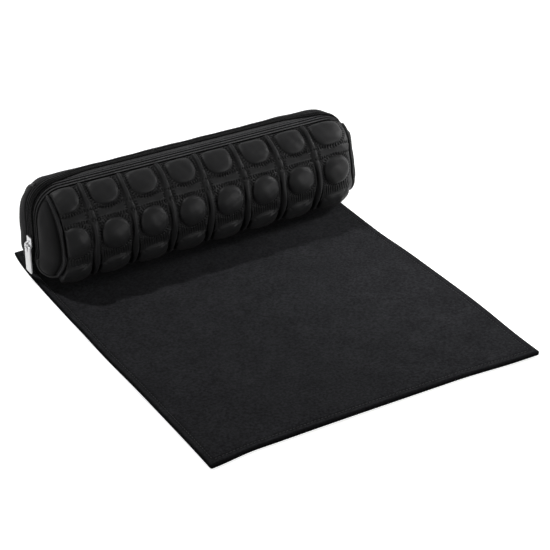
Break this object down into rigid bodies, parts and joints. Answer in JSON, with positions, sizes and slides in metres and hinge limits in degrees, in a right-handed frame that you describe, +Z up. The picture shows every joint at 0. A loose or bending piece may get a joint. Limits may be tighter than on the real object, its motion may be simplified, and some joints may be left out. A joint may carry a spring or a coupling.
{
  "type": "zipped quilted roll case with mat",
  "caption": "Zipped leather case with a quilted padded front that opens as a flap, a zip slider with a hanging metal puller, sewn to the back of a thin flat mat.",
  "frame": {"origin": "on the mat's underside, below the middle of the case's length and half way along the mat", "axes": "+X runs along the case, +Y from the mat's front edge to the case at its back, +Z up"},
  "size_m": [0.348, 0.396, 0.0976],
  "materials": {
    "leather": "fine grained, half gloss",
    "padding": "soft foam",
    "lining": "woven lining",
    "board": "plain board",
    "mat cloth": "dull woven cloth",
    "mat core": "needled felt",
    "zip tape": "ribbed woven tape",
    "zip coil": "nylon coil",
    "zip metal": "brushed and plated"
  },
  "bodies": {
    "base": {"mat_backing": "mat cloth", "mat_core": "mat core", "mat_face": "mat cloth", "mat_anchor_strip": "mat cloth", "hinge_piping": "leather", "rear_base_piping": "leather", "base_panel": "leather", "base_board": "board", "base_padding": "padding", "base_lining": "lining", "rear_panel": "leather", "rear_padding": "padding", "rear_end_padding": "padding", "rear_lining": "lining", "rear_end_panels": "leather", "rear_end_piping": "leather", "rear_zip_tape": "zip tape", "rear_zip_coil": "zip coil", "rear_zip_stop": "zip metal", "zip_bottom_stop": "zip metal"},
    "front_flap": {"front_quilted_panel": "leather", "front_padding": "padding", "front_end_padding": "padding", "front_lining": "lining", "front_end_panels": "leather", "front_end_piping": "leather", "front_zip_tape": "zip tape", "front_zip_coil": "zip coil", "front_zip_stop": "zip metal"},
    "zip_slider": {"zip_slider_body": "zip metal", "zip_slider_bail": "zip metal"},
    "pull_tab": {"zip_pull": "zip metal"}
  },
  "joints": [
    {"name": "front_flap_hinge", "type": "hinge", "parent": "base", "child": "front_flap", "pos_m": [0, 0.112, 0.0112], "axis": [1, 0, 0], "range_deg": [0, 60]},
    {"name": "zip_slide", "type": "slide", "parent": "base", "child": "zip_slider", "axis": [0, 0, 1], "range_m": [0, 0.022]},
    {"name": "pull_tab_hinge", "type": "hinge", "parent": "zip_slider", "child": "pull_tab", "pos_m": [-0.17455, 0.1475, 0.0368], "axis": [0, 1, 0], "range_deg": [0, 160]}
  ]
}
